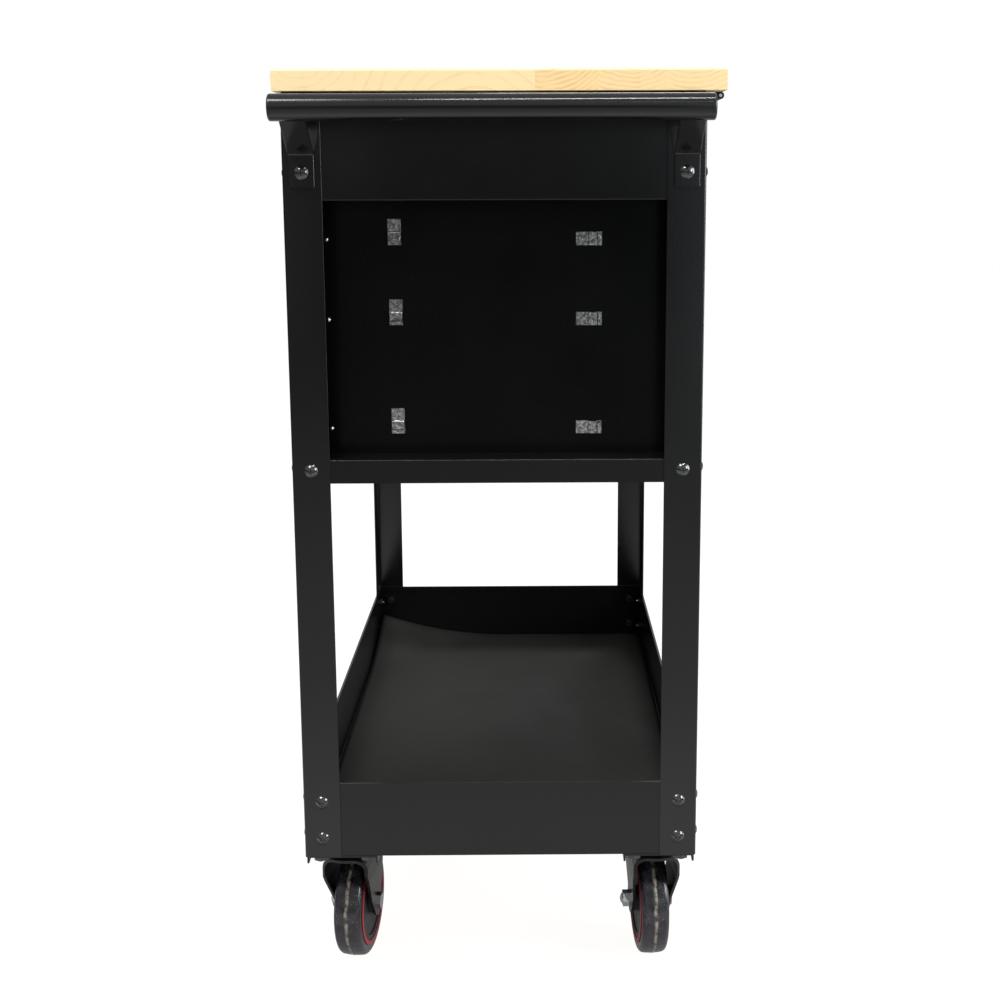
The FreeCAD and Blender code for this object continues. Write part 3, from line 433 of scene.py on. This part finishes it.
def wood():
    """Glued boards; growth rings are cylinders along X, so they curve on the ends and run along the top."""
    pale_early = (0.90, 0.70, 0.395, 1)
    golden_early = (0.87, 0.62, 0.31, 1)
    pale_late = (0.74, 0.50, 0.27, 1)
    golden_late = (0.66, 0.40, 0.17, 1)
    pore_colour = (0.60, 0.38, 0.18, 1)
    pore_cover = 0.16
    grain_depth = 0.00005
    finish = Finish("glued_boards", {"IOR": 1.45})
    split = finish.add("ShaderNodeSeparateXYZ", {"Vector": finish.place})
    along_y, along_z = split.outputs["Y"], split.outputs["Z"]
    low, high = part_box("wood_top")
    share = finish.spread(along_y, low.y, high.y)
    phase = ring_phase(finish, share, along_y, along_z)
    golden = board_value(finish, share, "golden", 0.0, 1.0)
    late_wood = late_wood_share(finish, phase, golden)
    early_colour = finish.blend(golden, pale_early, golden_early)
    late_colour = finish.blend(golden, pale_late, golden_late)
    colour = finish.blend(late_wood, early_colour, late_colour)
    pores = finish.spread(finish.noise(700.0, 3.0, 0.6, finish.stretched(0.04, 1.0, 1.0)), 0.58, 0.75)
    finish.feed("Base Color", finish.blend(finish.maths("MULTIPLY", pores, pore_cover), colour, pore_colour))
    finish.feed("Roughness", finish.spread(late_wood, 0.0, 1.0, 0.38, 0.50))
    finish.bump(finish.maths("ADD", pores, late_wood), grain_depth)
    return finish.material


def tread_rubber():
    """Dusty black tyre with a pale worn seam, lighter low down with floor dust and painted light; the tyre's
    own axis is its local Y.
    """
    clean_rubber = grey(0.007, (1.0, 0.94, 1.05))
    dusty_rubber = grey(0.040, (1.05, 0.90, 1.12))
    low_dust_and_painted_floor_light = grey(0.085, (1.02, 0.92, 1.10))
    speck_colour = grey(0.45)
    speck_cover = 0.5
    seam_colour = (0.36, 0.31, 0.24, 1)
    seam_cover = 0.85
    seam_wander = 0.0010
    seam_core = 0.0010
    seam_edge = 0.0022
    scuff_depth = 0.00015
    finish = Finish("tread_rubber", {"IOR": 1.5})
    split = finish.add("ShaderNodeSeparateXYZ", {"Vector": finish.place})
    wander = finish.spread(
        finish.noise(55.0, 4.0, 0.7), NOISE_LOW, NOISE_HIGH, -seam_wander, seam_wander
    )
    off_seam = finish.maths("ABSOLUTE", finish.maths("ADD", split.outputs["Y"], wander))
    seam = finish.spread(off_seam, seam_core, seam_edge, 1.0, 0.0)
    patchy = finish.spread(finish.noise(120.0, 4.0, 0.7), 0.40, 0.56)
    seam = finish.maths("MULTIPLY", seam, patchy)
    clouds = finish.noise(48.0, 6.0, 0.72, distortion=1.2)
    specks = finish.spread(finish.noise(620.0, 2.0, 0.5), 0.68, 0.74)
    body = finish.blend(finish.spread(clouds, 0.40, 0.68), clean_rubber, dusty_rubber)
    # Lower part of the tread lighter: partly floor dust, partly painted light, as if the bottom were lit by
    # the floor and the top shaded by the tray.
    low_dust_and_painted_light_share = finish.spread(split.outputs["Z"], -0.050, 0.010, 0.75, 0.0)
    body = finish.blend(low_dust_and_painted_light_share, body, low_dust_and_painted_floor_light)
    body = finish.blend(finish.maths("MULTIPLY", specks, speck_cover), body, speck_colour)
    finish.feed("Base Color", finish.blend(finish.maths("MULTIPLY", seam, seam_cover), body, seam_colour))
    finish.roughness(clouds, 0.10, 0.36)
    finish.bump(finish.noise(260.0, 5.0, 0.7), scuff_depth)
    return finish.material


finishes = {
    "frame_paint": enamel("frame_enamel", 0.0038, 0.20, 0.34),
    # The panel enamel is darker than the frame's: painted shade of the recess between the legs.
    "panel_paint": enamel("panel_enamel", 0.0016, 0.24, 0.14),
    "drawer_paint": enamel("drawer_enamel", 0.0045, 0.22, 0.35),
    "caster_paint": enamel("caster_enamel", 0.0050, 0.26, 0.40),
    "handle_paint": enamel("handle_enamel", 0.0050, 0.14, 0.50),
    "black_hinge": enamel("hinge_enamel", 0.0050, 0.28, 0.40),
    "black_screws": black_oxide(),
    "rubber_mat": rubber_sheet(),
    "zinc": zinc_plate(),
    "wood": wood(),
    "cap_plastic": moulded_plastic("cap_plastic", 0.008, 0.22),
    "hub_plastic": moulded_plastic("hub_plastic", 0.030, 0.50),
    "tread": tread_rubber(),
    "red_stripe": red_plastic(),
}

# Finishes of single nodes that differ from the rest of their slot, by the start of the node's name
polished_metal = bright_zinc()
nut_metal = dull_steel()
node_finishes = {
    "leg_": enamel("leg_enamel", 0.0038, 0.16, 0.46),
    "caster_axle_": polished_metal,
    "slide_screws": polished_metal,
    "hinge_pin": polished_metal,
    "caster_studs": nut_metal,
    "frame_nuts": nut_metal,
}


def finish_cad_nodes():
    """Give every CAD node its own finish, or that of the slot its packed material is named after."""
    for name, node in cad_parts.items():
        own = [finish for start, finish in node_finishes.items() if name.startswith(start)]
        for slot in node.material_slots:
            slot.material = own[0] if own else finishes[slot.material.name]


# ---- mesh helpers ---------------------------------------------------------------------------------


def mesh_piece(name, vertices, faces, slot, smooth_angle=35.0):
    """A new smooth-shaded piece with the finish of a slot."""
    mesh = bpy.data.meshes.new(name)
    mesh.from_pydata(vertices, [], faces)
    mesh.validate()
    mesh.shade_smooth()
    mesh.set_sharp_from_angle(angle=math.radians(smooth_angle))
    piece = bpy.data.objects.new(name, mesh)
    bpy.context.scene.collection.objects.link(piece)
    piece.data.materials.append(finishes[slot])
    return piece


def lathe(profile, segments):
    """Vertices and faces of a closed profile of (radius, y) points turned about the Y axis."""
    vertices = []
    faces = []
    count = len(profile)
    for turn in range(segments):
        angle = 2 * math.pi * turn / segments
        for radius, y in profile:
            vertices.append((radius * math.cos(angle), y, radius * math.sin(angle)))
    for turn in range(segments):
        here = turn * count
        there = ((turn + 1) % segments) * count
        for step in range(count):
            after = (step + 1) % count
            faces.append((here + step, here + after, there + after, there + step))
    return vertices, faces


# ---- rubber mat -----------------------------------------------------------------------------------


def mat_point(x, y, base):
    """Where a point of the flat mat lies, with the corner bent onto a cylinder."""
    corner_x, corner_y = x + mat_length / 2, y + mat_width / 2
    fold = math.hypot(mat_curl_along_end, mat_curl_along_front)
    inward = Vector((mat_curl_along_end / fold, mat_curl_along_front / fold, 0))
    beyond = mat_curl_along_end * mat_curl_along_front / fold - (corner_x * inward.x + corner_y * inward.y)
    if beyond <= 0:
        return Vector((x, y, base))
    turn = beyond / mat_curl_radius
    slide = beyond - mat_curl_radius * math.sin(turn)
    return Vector((x, y, base)) + inward * slide + Vector((0, 0, mat_curl_radius * (1 - math.cos(turn))))


def build_mat():
    """The mat as one thick sheet on the floor of the lower tray."""
    low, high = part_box("bottom_mat")
    middle = Vector(((low.x + high.x) / 2, (low.y + high.y) / 2, 0))
    columns = round(mat_length / mat_cell)
    rows = round(mat_width / mat_cell)
    vertices = []
    faces = []
    for row in range(rows + 1):
        for column in range(columns + 1):
            x = (column / columns - 0.5) * mat_length
            y = (row / rows - 0.5) * mat_width
            vertices.append(mat_point(x, y, low.z + mat_thickness) + middle)
    for row in range(rows):
        for column in range(columns):
            start = row * (columns + 1) + column
            faces.append((start, start + 1, start + columns + 2, start + columns + 1))
    mat = mesh_piece("mat_sheet", vertices, faces, "rubber_mat")
    solid = mat.modifiers.new("thickness", "SOLIDIFY")
    solid.thickness = mat_thickness
    solid.offset = -1.0
    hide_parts("bottom_mat")
    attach(mat, "cart")


# ---- tyres ----------------------------------------------------------------------------------------


def tyre_profile():
    """Closed (radius, y) outline of a tyre, with a crowned tread and a low moulding seam."""
    half = []
    tread_half = tyre_half_width - tyre_corner
    for step in range(tyre_tread_steps + 1):
        share = step / tyre_tread_steps
        seam = tyre_seam_height if step == 0 else 0.0
        half.append((wheel_radius - tyre_seam_height - tyre_crown * share ** 2 + seam, tread_half * share))
    half.insert(1, (wheel_radius - tyre_seam_height, tyre_seam_half_width))
    shoulder = wheel_radius - tyre_seam_height - tyre_crown - tyre_corner
    for step in range(1, tyre_corner_steps + 1):
        angle = math.radians(90 * step / tyre_corner_steps)
        half.append((shoulder + tyre_corner * math.cos(angle), tread_half + tyre_corner * math.sin(angle)))
    half.append((tyre_inner_radius + tyre_sidewall_width, tyre_half_width - tyre_sidewall_inset))
    half.append((tyre_inner_radius + tyre_rim_gap, tyre_half_width - tyre_sidewall_inset))
    other_half = [(radius, -y) for radius, y in reversed(half[1:])]
    return half + other_half


def build_tyres():
    """Four tyres, each about its own axle."""
    for end in ("handle", "far"):
        for side in ("front", "rear"):
            node = f"tyre_{end}_{side}"
            low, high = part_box(node)
            vertices, faces = lathe(tyre_profile(), tyre_segments)
            tyre = mesh_piece(f"tread_{end}_{side}", vertices, faces, "tread")
            yaw = math.radians(caster_yaws.get(node, 0.0))
            tyre.matrix_world = Matrix.Translation((low + high) / 2) @ Matrix.Rotation(yaw, 4, "Z")
            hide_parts(node)
            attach(tyre, f"wheel_{end}_{side}")


# ---- small hardware -------------------------------------------------------------------------------


def box_mesh(low, high):
    """Vertices and faces of a box between two corners."""
    vertices = [(x, y, z) for z in (low.z, high.z) for y in (low.y, high.y) for x in (low.x, high.x)]
    faces = [(0, 2, 3, 1), (4, 5, 7, 6), (0, 1, 5, 4), (2, 6, 7, 3), (0, 4, 6, 2), (1, 3, 7, 5)]
    return vertices, faces


def turned_mesh(profile, segments, centre):
    """Vertices and faces of a solid turned about Y; the profile's first and last points are on the axis."""
    vertices = [centre + Vector((0, profile[0][1], 0)), centre + Vector((0, profile[-1][1], 0))]
    faces = []
    rings = profile[1:-1]
    for radius, y in rings:
        for step in range(segments):
            angle = 2 * math.pi * step / segments
            vertices.append(centre + Vector((radius * math.cos(angle), y, radius * math.sin(angle))))
    for step in range(segments):
        after = (step + 1) % segments
        last = 2 + (len(rings) - 1) * segments
        faces.append((0, 2 + step, 2 + after))
        faces.append((1, last + after, last + step))
        for ring in range(len(rings) - 1):
            here = 2 + ring * segments
            there = here + segments
            faces.append((here + step, there + step, there + after, here + after))
    return vertices, faces


def joined(parts):
    """One list of vertices and one of faces from several."""
    vertices = []
    faces = []
    for part_vertices, part_faces in parts:
        start = len(vertices)
        vertices.extend(part_vertices)
        faces.extend(tuple(start + corner for corner in face) for face in part_faces)
    return vertices, faces


def ball_profile():
    """Half outline of a ball about Y."""
    points = []
    for step in range(ball_steps + 1):
        angle = math.pi * step / ball_steps
        points.append((ball_radius * math.sin(angle), -ball_radius * math.cos(angle)))
    return points


def build_ball_cages():
    """A strip with two rows of balls in every drawer slide."""
    for row in ("top", "middle", "bottom"):
        low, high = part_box("slide_middle_rails_" + row)
        centre_z = (low.z + high.z) / 2
        front = low.y + cage_setback
        for side, web in ((-1, low.x), (1, high.x)):
            outer = web - side * (rail_sheet + cage_from_web)
            inner = outer - side * cage_sheet
            strip_low = Vector((min(outer, inner), front, centre_z - cage_half_height))
            strip_high = Vector((max(outer, inner), front + cage_length, centre_z + cage_half_height))
            parts = [box_mesh(strip_low, strip_high)]
            for level in (-ball_height, ball_height):
                for ball in range(balls_in_row):
                    y = front + cage_length * (ball + 0.5) / balls_in_row
                    centre = Vector((web - side * ball_from_web, y, centre_z + level))
                    parts.append(turned_mesh(ball_profile(), ball_segments, centre))
            end = "far" if side < 0 else "handle"
            vertices, faces = joined(parts)
            cage = mesh_piece(f"ball_cage_{row}_{end}", vertices, faces, "zinc")
            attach(cage, "slide_middle_" + row)


def build_hinge_screws():
    """A row of round heads along the hinge's fixed leaf."""
    low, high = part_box("hinge_fixed_leaf")
    wall, top = low.y + hinge_leaf_sheet, high.z
    profile = [(hinge_screw_radius * out, hinge_screw_height * up) for out, up in hinge_screw_outline]
    parts = []
    for screw in range(hinge_screw_count):
        share = screw / (hinge_screw_count - 1)
        x = low.x + hinge_screw_inset + share * (high.x - low.x - 2 * hinge_screw_inset)
        centre = Vector((x, wall, top - hinge_screw_drop))
        parts.append(turned_mesh(profile, hinge_screw_segments, centre))
    vertices, faces = joined(parts)
    screws = mesh_piece("hinge_screws", vertices, faces, "black_screws")
    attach(screws, "cart")


# ---- studio ---------------------------------------------------------------------------------------


def soft_box(light):
    """A rectangular studio light; its radiance is how bright its face is."""
    area = bpy.data.lights.new(light.name, "AREA")
    area.shape = "RECTANGLE"
    area.size, area.size_y = light.size
    area.energy = light.radiance * math.pi * light.size[0] * light.size[1]
    area.color = light.tint
    lamp = bpy.data.objects.new(light.name, area)
    bpy.context.scene.collection.objects.link(lamp)
    direction = Vector(light.target) - Vector(light.place)
    turn = direction.to_track_quat("-Z", "Y").to_matrix().to_4x4()
    lamp.matrix_world = Matrix.Translation(light.place) @ turn
    lamp.visible_camera = False


def build_floor():
    """A studio floor, evenly white to the camera; to reflections it glows, with a painted shadow under the
    cart and a glow that fades away from it.
    """
    vertices = [(0, 0, 0)]
    faces = []
    for radius in floor_rings:
        for step in range(floor_segments):
            angle = 2 * math.pi * step / floor_segments
            vertices.append((radius * math.cos(angle), radius * math.sin(angle), 0))
    for ring in range(len(floor_rings)):
        for step in range(floor_segments):
            after = (step + 1) % floor_segments
            outer = 1 + ring * floor_segments
            if ring == 0:
                faces.append((0, outer + step, outer + after))
            else:
                inner = outer - floor_segments
                faces.append((inner + step, outer + step, outer + after, inner + after))
    mesh = bpy.data.meshes.new("studio_floor")
    mesh.from_pydata(vertices, [], faces)
    floor = bpy.data.objects.new("studio_floor", mesh)
    bpy.context.scene.collection.objects.link(floor)
    white = Finish("studio_white", {
        "Base Color": grey(floor_grey),
        "Roughness": 0.9,
        "Specular IOR Level": 0.0,
        "Emission Color": floor_tint,
    })
    distance = white.add("ShaderNodeVectorMath", {0: white.place}, operation="LENGTH").outputs["Value"]
    glow = white.add("ShaderNodeValToRGB", {"Fac": white.spread(distance, 0.0, floor_radius)})
    points = glow.color_ramp.elements
    while len(points) < len(floor_glow):
        points.new(1.0)
    for point, (reach, level) in zip(points, floor_glow):
        point.position = reach / floor_radius
        point.color = grey(level)
    seen = white.add("ShaderNodeLightPath").outputs["Is Camera Ray"]
    white.feed("Emission Strength", white.blend(seen, glow.outputs["Color"], grey(floor_seen_glow)))
    mesh.materials.append(white.material)


def build_world():
    """White behind the object, and a dim room with a brighter ceiling around it."""
    world = bpy.data.worlds.new("studio")
    bpy.context.scene.world = world
    world.use_nodes = True
    tree = world.node_tree
    nodes, links = tree.nodes, tree.links
    room = nodes["Background"]
    white = nodes.new("ShaderNodeBackground")
    white.inputs["Color"].default_value = (1, 1, 1, 1)
    white.inputs["Strength"].default_value = 1.0
    mixer = nodes.new("ShaderNodeMixShader")
    path = nodes.new("ShaderNodeLightPath")
    direction = nodes.new("ShaderNodeTexCoord").outputs["Generated"]
    split = nodes.new("ShaderNodeSeparateXYZ")
    links.new(direction, split.inputs["Vector"])
    height = nodes.new("ShaderNodeMapRange")
    height.inputs["From Min"].default_value = room_low_height
    height.inputs["From Max"].default_value = room_high_height
    height.inputs["To Min"].default_value = room_low_glow
    height.inputs["To Max"].default_value = room_high_glow
    links.new(split.outputs["Z"], height.inputs["Value"])
    links.new(height.outputs["Result"], room.inputs["Strength"])
    room.inputs["Color"].default_value = room_tint
    links.new(path.outputs["Is Camera Ray"], mixer.inputs[0])
    links.new(room.outputs[0], mixer.inputs[1])
    links.new(white.outputs[0], mixer.inputs[2])
    links.new(mixer.outputs[0], nodes["World Output"].inputs["Surface"])


def build_lights():
    """Soft boxes beside and behind the cart, strips overhead, and pale walls far to the sides."""
    for light in studio_lights:
        soft_box(light)


def build_camera():
    """The camera, level but for a small roll, at lid height."""
    forward = Vector((
        -math.cos(camera_yaw) * math.cos(camera_pitch),
        math.sin(camera_yaw) * math.cos(camera_pitch),
        -math.sin(camera_pitch),
    ))
    level_right = forward.cross(Vector((0, 0, 1))).normalized()
    level_up = level_right.cross(forward)
    right = level_right * math.cos(camera_roll) + level_up * math.sin(camera_roll)
    up = level_up * math.cos(camera_roll) - level_right * math.sin(camera_roll)
    camera = bpy.data.cameras.new("camera")
    camera.lens = camera_lens
    camera.sensor_width = camera_sensor
    camera.shift_x, camera.shift_y = camera_shift
    holder = bpy.data.objects.new("camera", camera)
    bpy.context.scene.collection.objects.link(holder)
    turn = Matrix((right, up, -forward)).transposed().to_4x4()
    holder.matrix_world = Matrix.Translation(camera_place) @ turn
    bpy.context.scene.camera = holder


# ---- build ----------------------------------------------------------------------------------------

finish_cad_nodes()
build_mat()
build_tyres()
build_ball_cages()
build_hinge_screws()
build_floor()
build_world()
build_lights()
build_camera()
bpy.context.scene.view_settings.view_transform = "Standard"
